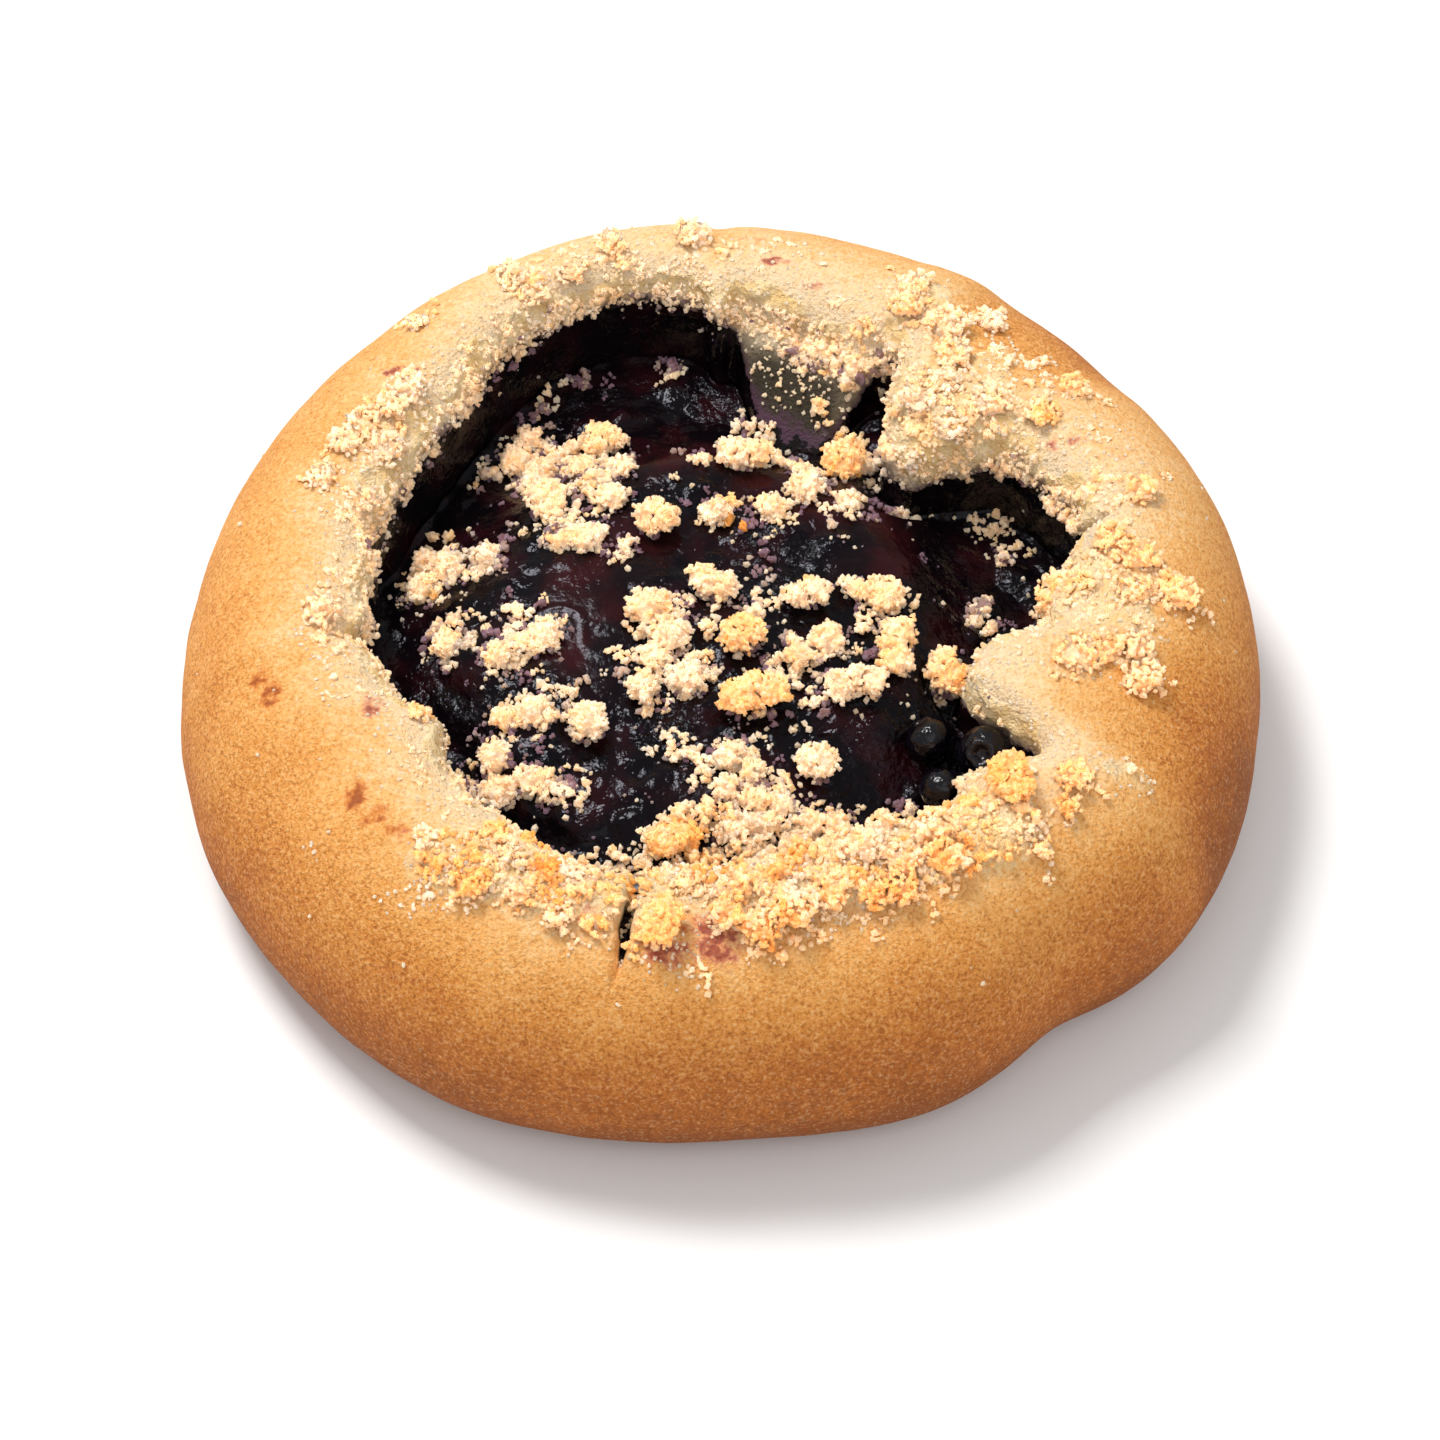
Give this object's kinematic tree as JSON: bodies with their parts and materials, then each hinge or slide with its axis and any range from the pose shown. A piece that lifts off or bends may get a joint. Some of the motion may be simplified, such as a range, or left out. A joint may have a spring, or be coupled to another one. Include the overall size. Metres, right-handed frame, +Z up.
{
  "type": "blueberry pastry",
  "caption": "Round flat-soled sweet bun whose open centre holds dark blueberry filling, with whole berries in a notch and butter crumble over rim and filling.",
  "frame": {"origin": "middle of the flat sole, on the surface that the bun stands on", "axes": "+Z up; -Y towards the cracked side of the rim, +X towards the smooth tongue of dough in the opening"},
  "size_m": [0.11, 0.1087, 0.0306],
  "materials": {
    "crust": "baked sweet dough, pale at the opening and browned on the flank, matte",
    "filling": "cooked berry filling, glossy and nearly black with a purple cast",
    "berry": "whole cooked berry, dark blue with a dull bloom",
    "crumble": "baked butter crumble, rough, cream to golden"
  },
  "bodies": {
    "root": {"bun": "crust", "filling": "filling", "berry_1": "berry", "berry_2": "berry", "berry_3": "berry", "crumble_lump_01": "crumble", "crumble_lump_02": "crumble", "crumble_lump_03": "crumble", "crumble_lump_04": "crumble", "crumble_lump_05": "crumble", "crumble_lump_06": "crumble", "crumble_lump_07": "crumble", "crumble_lump_08": "crumble", "crumble_lump_09": "crumble", "crumble_lump_10": "crumble", "crumble_lump_11": "crumble", "crumble_lump_12": "crumble", "crumble_lump_13": "crumble", "crumble_lump_14": "crumble", "crumble_lump_15": "crumble", "crumble_lump_16": "crumble", "crumble_lump_17": "crumble", "crumble_lump_18": "crumble"}
  },
  "joints": []
}
